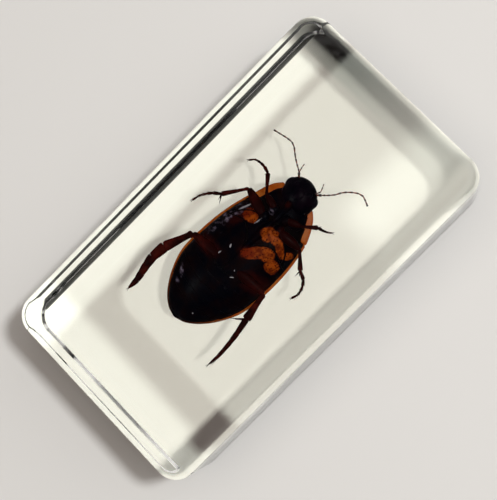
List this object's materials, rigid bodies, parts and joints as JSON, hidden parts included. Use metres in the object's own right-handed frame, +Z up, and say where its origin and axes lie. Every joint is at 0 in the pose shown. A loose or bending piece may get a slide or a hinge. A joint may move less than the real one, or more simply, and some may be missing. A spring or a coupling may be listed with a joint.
{
  "type": "insect in resin block",
  "caption": "Clear resin paperweight slab with rounded edges and a dried diving beetle sealed belly-up inside it.",
  "frame": {"origin": "centre of the block's bottom face, on the surface it rests on", "axes": "+X along the block's length towards the beetle's head, +Y across its width, +Z up out of the top face"},
  "size_m": [0.073, 0.041, 0.02],
  "materials": {
    "resin": "polished",
    "chitin": "satin"
  },
  "bodies": {
    "root": {"resin_lower": "resin", "resin_upper": "resin", "beetle": "chitin"}
  },
  "joints": []
}
